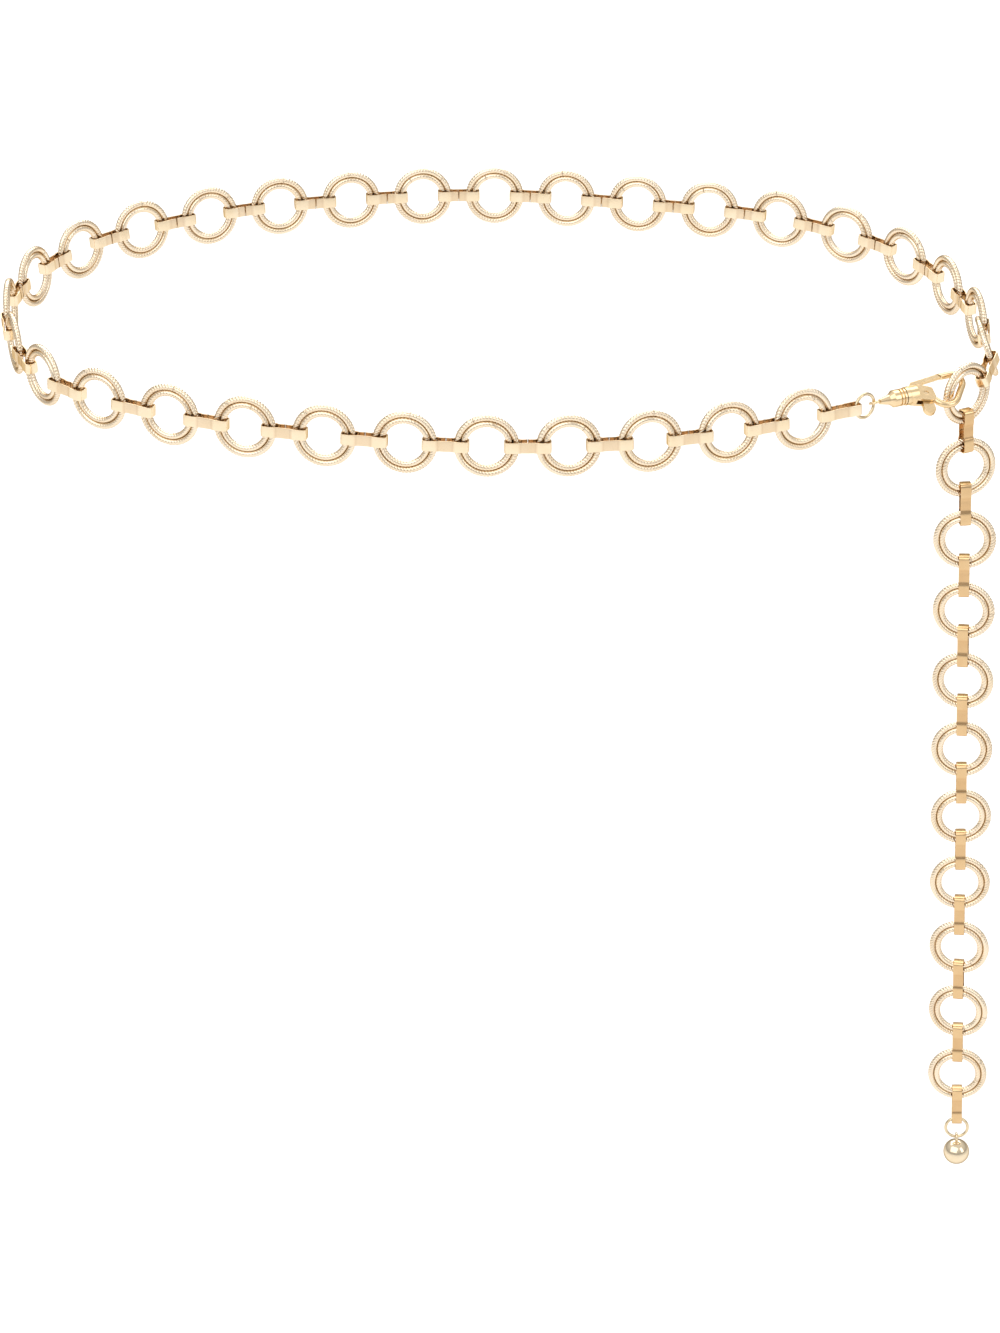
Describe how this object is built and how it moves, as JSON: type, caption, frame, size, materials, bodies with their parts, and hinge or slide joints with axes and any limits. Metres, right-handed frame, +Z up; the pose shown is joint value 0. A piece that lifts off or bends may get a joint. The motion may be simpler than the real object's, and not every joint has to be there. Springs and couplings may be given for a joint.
{
  "type": "waist chain",
  "caption": "Waist chain of round double-wire rings and flat strap links, closed by a swivel trigger hook, with a hanging tail that ends in a polished ball.",
  "frame": {"origin": "centre of the worn waist loop, where the waist is, at the mean height of the loop's ring centres", "axes": "+Z up, -Y to the wearer's front, +X to the tail's side"},
  "size_m": [0.3189, 0.1842, 0.3256],
  "materials": {
    "chain_gold": "polished light gold plating",
    "polished_gold": "mirror polished light gold plating"
  },
  "bodies": {
    "chain": {"waist_chain": "chain_gold", "tail_chain": "chain_gold", "clasp_jump_ring": "polished_gold", "swivel_eye": "polished_gold", "tail_jump_ring": "polished_gold", "ball_drop": "polished_gold"},
    "hook": {"hook_body": "polished_gold", "gate_pin": "polished_gold"},
    "lever": {"gate_lever": "polished_gold"}
  },
  "joints": [
    {"name": "swivel", "type": "hinge", "parent": "chain", "child": "hook", "pos_m": [0.11749, -0.05892, -0.01366], "axis": [0.9208, 0.3899, 0.0146], "range_deg": [-25, 5]},
    {"name": "gate", "type": "hinge", "parent": "hook", "child": "lever", "pos_m": [0.13342, -0.05342, -0.01421], "axis": [-0.2127, 0.533, -0.8189], "range_deg": [0, 20], "stiffness_Nm_per_rad": 0.05}
  ]
}
